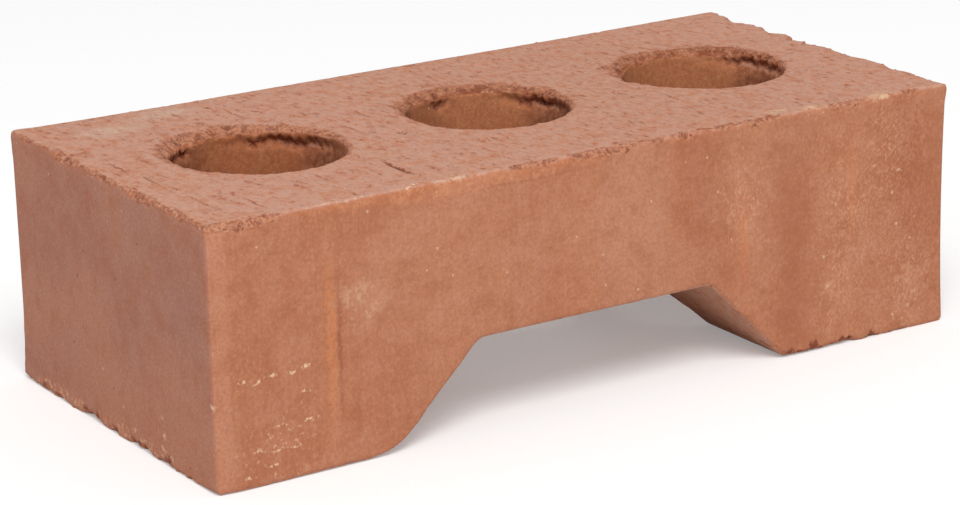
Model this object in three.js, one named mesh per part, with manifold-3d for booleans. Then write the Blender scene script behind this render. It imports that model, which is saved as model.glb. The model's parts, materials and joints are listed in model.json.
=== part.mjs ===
/*
 * A cored clay brick with a sloping notch across its underside.
 *
 * The brick is one fired body. Clay leaves the die as a column whose section is
 * the brick's plan, with its cores already in it, and a shaped wire then cuts the
 * column to the brick's side profile, notch and all. The model is made the same
 * way: what the die's column and the wire's profile have in common is the brick.
 *
 * Units are millimetres. +X runs along the length, +Y across the width and +Z up.
 * The origin is the middle of the bed face that the brick lies on.
 */
import * as THREE from 'three';
import { mergeVertices } from 'three/addons/utils/BufferGeometryUtils.js';
import Module from 'manifold-3d';

// The body.
const LENGTH = 193.7;
const WIDTH = 92.1;
const HEIGHT = 57.2;
const ARRIS_RADIUS = 2.0; // upright corners, rounded by the corners of the die

// The cores, in one row along the middle of the brick.
const CORE_DIAMETER = 37.4;
const END_WEB = 17.9; // clay between an end face and the core next to it
const LEAST_CORE_WEB = 15.0; // clay that has to stay between two cores

// The notch across the underside, a flat ceiling between two slopes.
const NOTCH_HEIGHT = 21.6;
const NOTCH_CEILING_WIDTH = 62.0;
const NOTCH_SLOPE = THREE.MathUtils.degToRad(46); // from the bed face
const NOTCH_CENTRE_X = -1.4; // the wire cuts it a little off the middle
const NOTCH_ROOT_RADIUS = 4.5; // between the ceiling and a slope
const FOOT_NOSE_RADIUS = 2.5; // between a slope and the bed face of a foot

// The furthest that a flat facet may lie from the true arc.
const FACET_SAG = 0.03;

// How far the column and the profile run past each other before they are cut.
const OVERRUN = 10.0;

// Fired red clay.
const CLAY_COLOUR = 0xb87a5e;
const CLAY_ROUGHNESS = 0.92;

const wasm = await Module();
wasm.setup();

/** How many chords an arc needs to stay within FACET_SAG of the true curve. */
function chordCount(radius, sweep) {
  const sweepPerChord = 2 * Math.acos(1 - FACET_SAG / radius);
  return Math.ceil(Math.abs(sweep) / sweepPerChord);
}

/**
 * The points that replace one corner of an outline with an arc tangent to both
 * of its sides. The arc is held to half of the shorter side, so that two arcs
 * never cross.
 */
function roundedCorner(corner, previous, next) {
  const here = new THREE.Vector2(corner.x, corner.y);
  if (!corner.radius) {
    return [here];
  }
  const toPrevious = new THREE.Vector2(previous.x, previous.y).sub(here);
  const toNext = new THREE.Vector2(next.x, next.y).sub(here);
  const longestTangent = Math.min(toPrevious.length(), toNext.length()) / 2;
  toPrevious.normalize();
  toNext.normalize();

  const halfAngle = Math.acos(toPrevious.dot(toNext)) / 2;
  const tangent = Math.min(corner.radius / Math.tan(halfAngle), longestTangent);
  const radius = tangent * Math.tan(halfAngle);
  const toCentre = toPrevious.clone().add(toNext).setLength(tangent / Math.cos(halfAngle));
  const centre = here.clone().add(toCentre);
  const start = here.clone().addScaledVector(toPrevious, tangent);
  const sweep = Math.sign(toNext.cross(toPrevious)) * (Math.PI - 2 * halfAngle);

  const chords = chordCount(radius, sweep);
  return Array.from({ length: chords + 1 }, (_, i) =>
    start.clone().rotateAround(centre, (sweep * i) / chords));
}

/** A closed outline through corners of {x, y, radius}, each rounded to its radius. */
function roundedOutline(corners) {
  const count = corners.length;
  const points = corners.flatMap((corner, i) =>
    roundedCorner(corner, corners[(i + count - 1) % count], corners[(i + 1) % count]));
  return new THREE.Shape(points);
}

/** A round hole for an outline. */
function roundHole(x, y, radius) {
  const chords = chordCount(radius, 2 * Math.PI);
  const circle = new THREE.EllipseCurve(x, y, radius, radius, 0, 2 * Math.PI, true);
  return new THREE.Path(circle.getPoints(chords).slice(0, chords));
}

/** The outline extruded along its normal, from nothing up to depth. */
function extrude(outline, depth) {
  return new THREE.ExtrudeGeometry(outline, { depth, bevelEnabled: false });
}

/** A closed geometry as a solid that can be cut. */
function toSolid(geometry) {
  geometry.deleteAttribute('normal');
  geometry.deleteAttribute('uv');
  const merged = mergeVertices(geometry);
  return new wasm.Manifold(new wasm.Mesh({
    numProp: 3,
    vertProperties: new Float32Array(merged.attributes.position.array),
    triVerts: new Uint32Array(merged.index.array),
  }));
}

/** A solid as a flat-shaded geometry. */
function toGeometry(solid) {
  const { vertProperties, triVerts } = solid.getMesh();
  const shared = new THREE.BufferGeometry();
  shared.setAttribute('position', new THREE.BufferAttribute(vertProperties, 3));
  shared.setIndex(new THREE.BufferAttribute(triVerts, 1));
  const geometry = shared.toNonIndexed();
  geometry.computeVertexNormals();
  return geometry;
}

/** The X of each core's centre: as many as fit, spread evenly between the end webs. */
function coreCentres() {
  const rowLength = LENGTH - 2 * END_WEB;
  const count = Math.floor((rowLength + LEAST_CORE_WEB) / (CORE_DIAMETER + LEAST_CORE_WEB));
  const pitch = (rowLength - CORE_DIAMETER) / Math.max(count - 1, 1);
  return Array.from({ length: count }, (_, i) => (i - (count - 1) / 2) * pitch);
}

/** The clay column: the brick's plan with its cores, longer than the brick is high. */
function dieColumn() {
  const end = LENGTH / 2;
  const side = WIDTH / 2;
  const plan = roundedOutline([
    { x: -end, y: -side, radius: ARRIS_RADIUS },
    { x: end, y: -side, radius: ARRIS_RADIUS },
    { x: end, y: side, radius: ARRIS_RADIUS },
    { x: -end, y: side, radius: ARRIS_RADIUS },
  ]);
  plan.holes = coreCentres().map((centre) => roundHole(centre, 0, CORE_DIAMETER / 2));
  const column = extrude(plan, HEIGHT + 2 * OVERRUN);
  return toSolid(column.translate(0, 0, -OVERRUN));
}

/** What the wire leaves: the side profile, wider than the brick and past its ends. */
function wireProfile() {
  const end = LENGTH / 2 + OVERRUN;
  const ceiling = NOTCH_CEILING_WIDTH / 2;
  const mouth = ceiling + NOTCH_HEIGHT / Math.tan(NOTCH_SLOPE);
  const profile = roundedOutline([
    { x: -end, y: 0 },
    { x: NOTCH_CENTRE_X - mouth, y: 0, radius: FOOT_NOSE_RADIUS },
    { x: NOTCH_CENTRE_X - ceiling, y: NOTCH_HEIGHT, radius: NOTCH_ROOT_RADIUS },
    { x: NOTCH_CENTRE_X + ceiling, y: NOTCH_HEIGHT, radius: NOTCH_ROOT_RADIUS },
    { x: NOTCH_CENTRE_X + mouth, y: 0, radius: FOOT_NOSE_RADIUS },
    { x: end, y: 0 },
    { x: end, y: HEIGHT },
    { x: -end, y: HEIGHT },
  ]);
  const depth = WIDTH + 2 * OVERRUN;
  const slab = extrude(profile, depth);
  // Drawn in X and Y, the profile is stood up so that its Y becomes the brick's Z.
  return toSolid(slab.rotateX(Math.PI / 2).translate(0, depth / 2, 0));
}

const firedClay = new THREE.MeshStandardMaterial({
  name: 'fired_clay',
  color: CLAY_COLOUR,
  roughness: CLAY_ROUGHNESS,
  metalness: 0,
});

const brick = new THREE.Mesh(toGeometry(dieColumn().intersect(wireProfile())), firedClay);
brick.name = 'brick';

const clayBrick = new THREE.Group();
clayBrick.add(brick);

export default clayBrick;
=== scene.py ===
"""A cored, notched clay brick: the fired body, its floor, its light and its view.

The brick is one extruded column of red clay, cut by a wire and fired. Its upright sides
come smooth off the die, its bed faces and notch are dragged by the wire, and every edge
that the wire leaves is torn into crumbs.
"""
import json
import logging
import math
from collections.abc import Callable, Iterable, Iterator
from dataclasses import asdict, dataclass, field
from enum import Enum
from typing import Any

import bmesh
import bpy
import numpy as np
from mathutils import Matrix, Vector


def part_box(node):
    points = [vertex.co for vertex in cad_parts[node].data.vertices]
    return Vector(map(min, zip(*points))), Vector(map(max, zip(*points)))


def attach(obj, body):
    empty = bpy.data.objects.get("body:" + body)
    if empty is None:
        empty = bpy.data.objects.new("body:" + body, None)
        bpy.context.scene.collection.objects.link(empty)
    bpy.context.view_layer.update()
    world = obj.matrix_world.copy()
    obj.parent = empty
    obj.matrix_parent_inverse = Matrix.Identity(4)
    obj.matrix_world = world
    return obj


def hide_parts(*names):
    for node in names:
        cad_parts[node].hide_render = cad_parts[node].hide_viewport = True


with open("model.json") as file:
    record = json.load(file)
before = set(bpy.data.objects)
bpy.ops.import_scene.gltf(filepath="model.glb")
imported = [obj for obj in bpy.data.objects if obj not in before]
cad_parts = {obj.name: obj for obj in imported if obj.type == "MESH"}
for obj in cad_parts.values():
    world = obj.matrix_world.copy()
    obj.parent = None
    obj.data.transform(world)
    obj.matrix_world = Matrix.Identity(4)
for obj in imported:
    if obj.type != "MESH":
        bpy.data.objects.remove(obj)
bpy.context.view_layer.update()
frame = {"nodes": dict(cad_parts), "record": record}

LOG = logging.getLogger("clay_brick")
MM = 0.001
HAIR = 0.01  # a gap in millimetres that counts as none
CLAY_NODE = "brick"
WHITE = (1.0, 1.0, 1.0, 1.0)
KINDS = {  # short names of the nodes in most use, each with its main setting
    "math": ("ShaderNodeMath", "operation"),
    "vector": ("ShaderNodeVectorMath", "operation"),
    "range": ("ShaderNodeMapRange", "interpolation_type"),
    "noise": ("ShaderNodeTexNoise", "noise_dimensions"),
    "cells": ("ShaderNodeTexVoronoi", "feature"),
    "mark": ("GeometryNodeInputNamedAttribute", "data_type"),
    "store": ("GeometryNodeStoreNamedAttribute", "data_type"),
}
Lengths = dict[float, float]  # a length in millimetres at each known place
Made = dict[str, Any]  # nodes and sockets by name


class Mark(Enum):
    """The point attributes that tell the relief and the finish what befell each spot."""

    EDGE = "tear_edge"  # 1 on a wire-cut edge, 0 where its tear would end
    DEPTH = "tear_depth"  # metres that a whole tear takes off the edge
    WAY = "tear_way"  # the way into the clay from that edge
    WIRE_CUT = "wire_cut"  # 1 on the faces that the wire cut
    TORN = "torn"  # 1 where the clay is broken open
    # The pit mark says where the finish paints shade: the bottoms of holes between crumbs and the hollows
    # under the rims.
    PIT = "pit"  # 1 at the bottom of a hole between crumbs
    HOLLOW = "hollow"  # 1 in the hollows under the rims of the cores


# ---------------------------------------------------------------- small helpers


def linear(hex_colour: str) -> tuple[float, float, float, float]:
    """Turns an sRGB hex colour into linear light.

    Args:
        hex_colour: Six hex digits after a hash.

    Returns:
        Red, green, blue and an alpha of 1.
    """
    channels = [int(hex_colour[i:i + 2], 16) / 255 for i in (1, 3, 5)]
    bent = [c / 12.92 if c <= 0.04045 else ((c + 0.055) / 1.055) ** 2.4 for c in channels]
    return (bent[0], bent[1], bent[2], 1.0)


def feed(node: bpy.types.Node, feeds: Iterable[Any] | dict[str, Any]) -> None:
    """Fills or links a node's inputs.

    Args:
        node: The node.
        feeds: What goes into the sockets in use, in their order or by their names: plain
            values, output sockets to link, or nodes whose first output in use is linked.
    """
    live = [socket for socket in node.inputs if socket.enabled]
    for key, value in (feeds if isinstance(feeds, dict) else dict(enumerate(feeds))).items():
        socket = live[key] if isinstance(key, int) else next(s for s in live if s.name == key)
        if isinstance(value, bpy.types.Node):
            value = next(s for s in value.outputs if s.enabled)
        if isinstance(value, bpy.types.NodeSocket):
            node.id_data.links.new(value, socket)
        else:
            socket.default_value = value


def add_node(
    tree: bpy.types.NodeTree, kind: str, feeds: Iterable[Any] | dict[str, Any] = (), **settings: Any
) -> bpy.types.Node:
    """Adds a node, sets its properties, and fills or links its inputs.

    Args:
        tree: The tree that gets the node.
        kind: The node's type name, or a short name from KINDS and its main setting.
        feeds: What goes into its sockets, as feed() takes it.
        settings: Property names with their values.

    Returns:
        The new node.
    """
    short, _, choice = kind.partition(" ")
    if choice:
        kind, setting = KINDS[short]
        settings[setting] = choice
    node = tree.nodes.new(kind)
    for name, value in settings.items():
        setattr(node, name, value)
    feed(node, feeds)
    return node


def add_steps(tree: bpy.types.NodeTree, made: Made, steps: Iterable[tuple]) -> None:
    """Adds nodes one after another, each fed by what was made before it.

    Args:
        tree: The tree that gets the nodes.
        made: What was made so far; each new node joins it.
        steps: For each node its name, its kind, and its feeds in the order of its sockets:
            plain values, names, or names with a dot and the name of an output.
    """
    for name, kind, *feeds in steps:
        for place, value in enumerate(feeds):
            if isinstance(value, str):
                source, _, output = value.partition(".")
                feeds[place] = made[source].outputs[output] if output else made[source]
        made[name] = add_node(tree, kind, feeds)


def new_tree(name: str, inputs: dict[str, str]) -> tuple[bpy.types.NodeTree, Made]:
    """Starts a Geometry Nodes tree that takes and gives a geometry.

    Args:
        name: What the tree is called.
        inputs: Its other inputs, each with its kind of socket.

    Returns:
        The tree, and its inputs by name.
    """
    tree = bpy.data.node_groups.new(name, "GeometryNodeTree")
    tree.interface.new_socket("Geometry", in_out="OUTPUT", socket_type="NodeSocketGeometry")
    for key, kind in {"Geometry": "Geometry", **inputs}.items():
        tree.interface.new_socket(key, in_out="INPUT", socket_type="NodeSocket" + kind)
    given = add_node(tree, "NodeGroupInput").outputs
    return tree, {socket.name: socket for socket in given if socket.name}


def new_object(name: str, data: bpy.types.ID) -> bpy.types.Object:
    """Links a mesh, a lamp or a camera into the scene as an object at the origin.

    Args:
        name: What the object and its data are called.
        data: The mesh, lamp or camera.

    Returns:
        The object.
    """
    data.name = name
    thing = bpy.data.objects.new(name, data)
    bpy.context.scene.collection.objects.link(thing)
    return thing


def bake_modifiers(piece: bpy.types.Object) -> None:
    """Replaces the object's mesh with its evaluated one and drops its modifiers.

    Args:
        piece: The object.
    """
    depsgraph = bpy.context.evaluated_depsgraph_get()
    before = piece.data
    after = bpy.data.meshes.new_from_object(
        piece.evaluated_get(depsgraph), preserve_all_data_layers=True, depsgraph=depsgraph
    )
    piece.modifiers.clear()
    piece.data = after
    after.name = piece.name
    bpy.data.meshes.remove(before)


def run_tree(piece: bpy.types.Object, tree: bpy.types.NodeTree, values: Made) -> None:
    """Runs a Geometry Nodes tree on an object and keeps the result as a plain mesh.

    Args:
        piece: The object that the tree works on.
        tree: The tree to run.
        values: The tree's named inputs with their values.
    """
    modifier = piece.modifiers.new(tree.name, "NODES")
    modifier.node_group = tree
    for item in tree.interface.items_tree:
        if item.item_type == "SOCKET" and item.in_out == "INPUT" and item.name in values:
            modifier[item.identifier] = values[item.name]
    bake_modifiers(piece)


def points_of(mesh: bpy.types.Mesh) -> np.ndarray:
    """Reads where the points of a mesh are.

    Args:
        mesh: The mesh.

    Returns:
        Its points in millimetres, one row each.
    """
    flat = np.empty(len(mesh.vertices) * 3, np.float32)
    mesh.vertices.foreach_get("co", flat)
    return flat.reshape(-1, 3).astype(np.float64) / MM


def store(mesh: bpy.types.Mesh, mark: Mark, values: np.ndarray) -> None:
    """Writes a number or a vector for each point as a named attribute.

    Args:
        mesh: The mesh that gets it.
        mark: Which attribute it is.
        values: The numbers, or one row for each vector.
    """
    kind, slot = ("FLOAT_VECTOR", "vector") if values.ndim == 2 else ("FLOAT", "value")
    layer = mesh.attributes.get(mark.value) or mesh.attributes.new(mark.value, kind, "POINT")
    layer.data.foreach_set(slot, values.astype(np.float32).ravel())


def smoothstep(low: float, high: float, x: np.ndarray) -> np.ndarray:
    """Rises or falls smoothly from 0 at low to 1 at high."""
    t = np.clip((x - low) / (high - low), 0.0, 1.0)
    return t * t * (3.0 - 2.0 * t)


def between(known: Lengths, places: np.ndarray) -> np.ndarray:
    """Reads off a length at each place, on straight lines between the known ones."""
    return np.interp(places, list(known), list(known.values()))


# ------------------------------------------------------------------- the outline


@dataclass
class BrickOutline:
    """The brick's true outline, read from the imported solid, in millimetres."""

    length: float
    width: float
    height: float
    arris_radius: float  # of the upright arrises
    cores: list[float]  # the X of each core's centre
    core_radius: float
    profile_x: np.ndarray  # where along the length the underside's height is known
    profile_z: np.ndarray  # the underside's height there

    @classmethod
    def from_frame(cls, node: str) -> "BrickOutline":
        """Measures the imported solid.

        Args:
            node: The name of the brick's node.

        Returns:
            The outline.
        """
        low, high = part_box(node)
        length, width, height = [(b - a) / MM for a, b in zip(low, high)]
        cores = sorted(
            (opening["box_m"][0][0] + opening["box_m"][1][0]) / 2 / MM
            for opening in frame["record"]["physics"]["openings"]
            if opening["name"].startswith("core")
        )
        points = points_of(frame["nodes"][node].data)
        top = points[points[:, 2] > height - HAIR]
        front = points[points[:, 1] < HAIR - width / 2]
        below = front[front[:, 2] < height / 2]
        below = below[np.argsort(below[:, 0], kind="stable")]
        arris_radius = length / 2 - float(front[:, 0].max())
        core_radius = float(np.hypot(top[:, 0] - cores[0], top[:, 1]).min())
        return cls(
            length, width, height, arris_radius, cores, core_radius, below[:, 0], below[:, 2]
        )

    def underside(self, x: np.ndarray) -> np.ndarray:
        """The height of the brick's underside at each X."""
        return np.interp(x, self.profile_x, self.profile_z)

    def nearest_core(self, x: np.ndarray) -> np.ndarray:
        """The X of the core centre that is nearest to each X."""
        centres = np.array(self.cores)
        return centres[np.abs(x[:, None] - centres[None, :]).argmin(axis=1)]


class Along(Enum):
    """The four arrises of a bed face, by where they lie."""

    FRONT = "front"
    BACK = "back"
    LEFT = "left"
    RIGHT = "right"


@dataclass(frozen=True)
class EdgeWear:
    """How far the tears run back from the edges that the wire left, in millimetres.

    A tear along an arris is given by its reach at places along it, so that some stretches
    are crisp and others broken away. Places are X for the front and the back, and Y for
    the ends. Round a core they are angles about its axis, in degrees.
    """

    top: dict[Along, Lengths] = field(default_factory=lambda: {
        Along.FRONT: {
            -96: 1.4, -92: 2.2, -84: 1.9, -80: 0.6, -76: 0.25, -30: 0.25, -24: 0.4, -18: 1.1, -13: 1,
            -10: 0.3, -5: 0.9, -1: 1.1, 1: 2, 5: 2, 8: 1, 12: 0.4, 15: 1.2, 18: 0.3, 22: 1.4, 26: 1,
            30: 0.4, 33: 1, 37: 0.4, 40: 1.3, 46: 1.1, 50: 0.3, 62: 0.3, 64: 1, 67: 0.5, 69: 1, 71: 1,
            74: 0.3, 84: 0.3, 86: 1.1, 89: 0.4, 96: 0.4,
        },
        Along.BACK: {-96: 0.1, -90: 0.35, 96: 0.35},
        Along.LEFT: {
            -46: 1.2, -43: 0.8, -40: 0.3, -36: 0.9, -31: 1, -28: 0.3, -24: 0.6, -21: 1.2, -16: 1.5,
            -12: 1.3, -9: 0.3, -4: 0.6, 0: 0.7, 3: 0.3, 6: 1.2, 9: 0.3, 13: 0.8, 16: 1.1, 20: 1.4,
            24: 1.1, 26: 0.2, 34: 0.4, 38: 0.7, 42: 0.3, 46: 0.1,
        },
        Along.RIGHT: {
            -46: 0.8, -42: 1.5, -38: 1, -34: 0.5, -31: 0.7, -27: 2.1, -24: 0.9, -20: 0.3, -16: 0.3,
            -10: 1.4, -6: 1.5, -3: 0.4, 1: 1.1, 5: 2.5, 7: 1, 10: 3.7, 13: 0.4, 16: 0.4, 19: 2, 22: 2.2,
            24: 0.8, 28: 0.4, 30: 1.7, 34: 2.7, 38: 1.2, 41: 0.5, 46: 0.4,
        },
    })
    bottom: dict[Along, Lengths] = field(default_factory=lambda: {
        Along.FRONT: {
            -96: 0.4, -86: 0.3, -84: 0.5, -82: 0.2, -68: 0.3, -65: 0.7, -62: 0.2, 45: 0.4, 50: 0.6,
            52: 1.2, 55: 0.9, 58: 1.5, 60: 0.9, 62: 0.8, 64: 1.4, 66: 1.1, 68: 1.3, 71: 0.9, 74: 0.5,
            76: 0.9, 78: 0.4, 84: 0.8, 88: 0.4, 96: 0.3,
        },
        Along.BACK: {-96: 0.7, 96: 0.7},
        Along.LEFT: {
            -46: 0.8, -40: 0.4, -26: 0.6, -22: 1.2, -19: 0.5, -16: 1.1, -13: 1.9, -11: 0.8, -8: 2,
            -5: 0.6, -2: 0.6, 1: 1, 5: 0.5, 10: 1.2, 13: 2.6, 16: 0.9, 20: 0.6, 24: 0.7, 28: 0.9,
            31: 0.6, 36: 1, 40: 0.6, 46: 1.2,
        },
        Along.RIGHT: {-46: 0.7, 46: 0.8},
    })
    burrs: dict[Along, Lengths] = field(default_factory=lambda: {
        Along.FRONT: {
            -96: 0, -84: 0.2, -78: 0.1, -68: 0, 70: 0, 73: 0.45, 76: 0.1, 80: 0.3, 84: 0.3, 87: 0.1,
            90: 0.4, 94: 0.4, 96: 0.3,
        },
        Along.BACK: {-96: 0.1, -60: 0.3, 0: 0, 70: 0.3, 96: 0.1},
        Along.LEFT: {
            -44: 0, -38: 0.1, -30: 0.3, -24: 0.1, -21: 0.3, -16: 0, -10: 0.2, -2: 0.4, 1: 0.2, 7: 0.45,
            10: 0.1, 16: 0.1, 18: 0.6, 23: 0.6, 27: 0.2, 31: 0.6, 34: 0.3, 37: 0.6, 40: 0.1, 46: 0,
        },
        Along.RIGHT: {-46: 0.1, -20: 0.4, 0: 0.1, 25: 0.4, 46: 0},
    })  # how far the dragged clay hangs below the bed
    notch: float = 0.25
    core_rims: tuple[Lengths, ...] = (
        {
            -180: 1.2, -150: 1, -120: 0.5, -70: 0.6, -40: 1, -15: 1.3, 10: 2, 30: 2.5, 60: 3.2, 90: 3.8,
            125: 4.1, 150: 3.4, 168: 2, 180: 1.2,
        },
        {
            -180: 0.6, -165: 1, -140: 0.8, -110: 0.4, -50: 0.5, -30: 1, -10: 1.4, 20: 2.6, 60: 3.2,
            95: 3.6, 130: 3, 155: 1.6, 180: 0.6,
        },
        {
            -180: 2.4, -160: 1.4, -140: 0.6, -50: 0.5, -30: 0.9, -5: 1.6, 20: 2.8, 60: 3.5, 100: 3.8,
            140: 4.8, 165: 4, 180: 2.4,
        },
    )
    core_rim_below: float = 1.2
    scores: tuple[tuple[float, float, float, float, float], ...] = (
        (-42.6, -31.7, 0.85, 8.0, 0.9), (-26.6, -7.0, 1.3, 2.2, 0.9),
        (31.6, -7.2, 1.2, 2.0, 0.7), (-88.8, -29.0, 0.6, 5.6, 0.4),
        (-25.6, 12.0, 0.6, 5.6, 0.35), (-49.0, 29.8, 0.6, 5.0, 0.35),
    )  # where a stone scored the top: X, Y, half width, half length and depth
    steepness: float = 0.85  # how far a tear runs down, as a share of how far it runs in
    rim_steepness: float = 0.42


@dataclass(frozen=True)
class KilnWarp:
    """How the die, drying and firing moved the brick off true, in millimetres."""

    left_rise: tuple[float, float] = (0.55, 0.98)  # of the top, at the front and the back
    right_rise: tuple[float, float] = (-0.25, -0.25)
    front_sag: float = -0.35
    back_sag: float = 0.3
    notch_drop: float = 0.12
    bed_lift: float = 0.4  # so that lumps under the arrises reach the floor
    right_back_reach: float = 0.5
    right_reach: float = 0.15
    end_waist: float = 0.65
    left_back_waist: float = 0.35
    left_back_flare: float = 1.5
    left_back_lip: float = 0.45
    flare_height: float = 7.0
    end_lip: float = 0.5
    lip_height: float = 5.0
    arris_radius: float = 0.5
    flat_width: float = 5.0  # of the worn strip beside the front left arris
    flat_fall: float = 0.55
    nose_radius: float = 19.0  # where the left foot meets the notch
    scoop: tuple[float, float, float] = (-44.0, 6.0, 0.6)  # in the left slope: X, half, depth
    scoop_height: float = 8.0
    tallest: float = 58.9  # no crumb stands higher
    rim_drag: tuple[tuple[float, float], ...] = ((1.9, -50), (0.7, -35), (1.2, -40))
    rim_hollows: tuple[tuple[tuple[float, float, float], ...], ...] = (
        ((35, 32, 1.7), (118, 6, 1.3), (142, 14, 1.4)),
        ((14, 26, 1.9), (92, 8, 1.0), (165, 12, 1.3)),
        ((10, 28, 1.9), (168, 14, 1.8)),
    )  # each the middle and half width of a hollow under a rim in degrees, and its depth
    hollow_drop: float = 2.6  # how far below the top a hollow is deepest
    hollow_height: float = 1.1
    hollow_margin: float = 0.35  # the part of a hollow's edge that stays whole


# -------------------------------------------------------------------- the relief


@dataclass(frozen=True)
class WireRelief:
    """Geometry Nodes that tear, drag and crumble the surface as the cutting wire does.

    Sizes are in millimetres. A chip is a stretch of edge that broke away, a crumb is one
    grain of the broken clay, a pocket is a hole between crumbs, and a drag mark is a
    groove that the wire pulled.
    """

    chip_size: float = 5.5
    raggedness: float = 2.0
    crumb_size: float = 1.6
    crumb_depth: float = 0.8
    pocket_size: float = 2.0
    pocket_depth: float = 1.0
    drag_width: float = 1.3
    drag_length: float = 8.0
    drag_depth: float = 0.16
    gouge_depth: float = 0.35
    wave_size: float = 45.0
    wave_depth: float = 0.3
    lump_radius: float = 0.3
    lumps_per_m2: float = 250_000.0
    swell: float = 0.3
    seed: int = 7

    def inputs(self) -> dict[str, float]:
        """Names the tree's inputs.

        Returns:
            Patterns in millimetres, and what the tree moves in metres.
        """
        moves = ("crumb_depth", "pocket_depth", "drag_depth", "gouge_depth", "wave_depth",
                 "lump_radius", "swell")
        return {name: value * MM if name in moves else value
                for name, value in asdict(self).items()}

    def build(self, clay: bpy.types.Material) -> bpy.types.NodeTree:
        """Builds the tree.

        Args:
            clay: The material that the tree sets on what it makes.

        Returns:
            The tree, with the inputs that inputs() names.
        """
        tree, made = new_tree("wire_relief", {
            name: "Int" if isinstance(value, int) else "Float"
            for name, value in self.inputs().items()
        })
        for mark in (Mark.EDGE, Mark.DEPTH, Mark.WAY, Mark.WIRE_CUT, Mark.HOLLOW):
            kind = "FLOAT_VECTOR" if mark is Mark.WAY else "FLOAT"
            made[mark.value] = add_node(tree, f"mark {kind}", (mark.value,))
        position = add_node(tree, "GeometryNodeInputPosition")
        made["place"] = add_node(tree, "vector SCALE", (position, 1 / MM))
        made["facing"] = add_node(
            tree, "GeometryNodeBlurAttribute",
            {"Value": add_node(tree, "GeometryNodeInputNormal"), "Iterations": 3},
            data_type="FLOAT_VECTOR",
        )

        # Grains of several sizes, each about 0, from -0.5 to 0.5.
        for name, size, detail, offset in (
            ("chips", "chip_size", 2.0, 11.0), ("crumbs", "crumb_size", 3.0, 31.0),
            ("pockets", "pocket_size", 1.0, 53.0), ("waves", "wave_size", 0.0, 71.0),
        ):
            add_steps(tree, made, (
                ("moved", "vector ADD", "place", (offset,) * 3),
                ("scale", "math DIVIDE", 1.0, size),
                ("noise", "noise 3D", "moved", "scale", detail, 0.6),
                (name, "math SUBTRACT", "noise", 0.5),
            ))
        add_steps(tree, made, (
            # The tear: its plain depth made ragged, then crumbs and the pockets between them.
            ("ragged", "math MULTIPLY_ADD", "chips", "raggedness", "tear_edge"),
            ("torn", "range SMOOTHSTEP", "ragged", 0.0, 0.2),
            ("kept", "math MAXIMUM", "ragged", 0.0),
            ("sunk", "math MULTIPLY", "kept", "tear_depth"),
            ("holes", "range SMOOTHSTEP", "pockets", 0.09, 0.2),
            # The pit: holes in the torn clay and the hollows under the rims, where the finish paints
            # shade.
            ("pit", "math MULTIPLY_ADD", "holes", "torn", "hollow"),
            ("hole", "math MULTIPLY", "holes", "pocket_depth"),
            ("rough", "math MULTIPLY_ADD", "crumbs", "crumb_depth", "hole"),
            ("bite", "math MULTIPLY_ADD", "rough", "torn", "sunk"),
            ("tear", "vector SCALE", "tear_way", "bite"),
            # The wire's drag: fine grooves along the width, and here and there a gouge.
            ("across", "math DIVIDE", 1.0, "drag_width"),
            ("along", "math DIVIDE", 1.0, "drag_length"),
            ("stretch", "ShaderNodeCombineXYZ", "across", "along", "across"),
            ("dragged", "vector MULTIPLY", "place", "stretch"),
            ("grooves", "noise 3D", "dragged", 1.0, 3.0, 0.55),
            ("groove", "math SUBTRACT", "grooves", 0.5),
            ("drag", "math MULTIPLY", "groove", "drag_depth"),
            ("cells", "cells F1", "dragged", 0.5),
            ("slit", "range SMOOTHSTEP", "cells.Distance", 0.3, 0.05),
            ("chosen", "math LESS_THAN", "cells.Color", 0.3),
            ("gouged", "math MULTIPLY", "slit", "chosen"),
            ("gouge", "math MULTIPLY", "gouged", "gouge_depth"),
            ("drags", "math SUBTRACT", "drag", "gouge"),
            # The whole skin, a little wavy.
            ("wave", "math MULTIPLY", "waves", "wave_depth"),
            ("even", "math ADD", "wave", "swell"),
            ("rise", "math MULTIPLY_ADD", "drags", "wire_cut", "even"),
            ("lift", "vector SCALE", "facing", "rise"),
            ("shift", "vector ADD", "tear", "lift"),
        ))
        body = made["Geometry"]
        for mark in (Mark.TORN, Mark.PIT):
            marked = {"Geometry": body, "Name": mark.value, "Value": made[mark.value]}
            body = add_node(tree, "store FLOAT", marked)
        body = add_node(tree, "GeometryNodeSetPosition", {"Geometry": body, "Offset": made["shift"]})

        # Crumbs that cling to the torn clay.
        torn = add_node(tree, "mark FLOAT", (Mark.TORN.value,))
        density = add_node(tree, "math MULTIPLY", (torn, made["lumps_per_m2"]))
        spots = add_node(
            tree, "GeometryNodeDistributePointsOnFaces",
            {"Mesh": body, "Density": density, "Seed": made["seed"]}, distribute_method="RANDOM",
        )
        lump = add_node(
            tree, "GeometryNodeMeshIcoSphere", {"Radius": made["lump_radius"], "Subdivisions": 2}
        )
        size, turn = [
            add_node(
                tree, "FunctionNodeRandomValue", {"Min": low, "Max": high, "Seed": made["seed"]},
                data_type="FLOAT_VECTOR",
            )
            for low, high in (
                ((0.6, 0.6, 0.5), (1.7, 1.7, 1.2)), ((0.0,) * 3, (math.tau,) * 3)
            )
        ]
        lumps = add_node(
            tree, "GeometryNodeInstanceOnPoints",
            {"Points": spots, "Instance": lump, "Rotation": turn, "Scale": size},
        )
        solid = add_node(tree, "GeometryNodeRealizeInstances", (lumps,))
        joined = add_node(tree, "GeometryNodeJoinGeometry", (solid,))
        tree.links.new(body.outputs[0], joined.inputs[0])
        dressed = add_node(
            tree, "GeometryNodeSetMaterial", {"Geometry": joined, "Material": clay}
        )
        add_node(tree, "NodeGroupOutput", (dressed,))
        return tree


# ---------------------------------------------------------------------- the body


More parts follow.
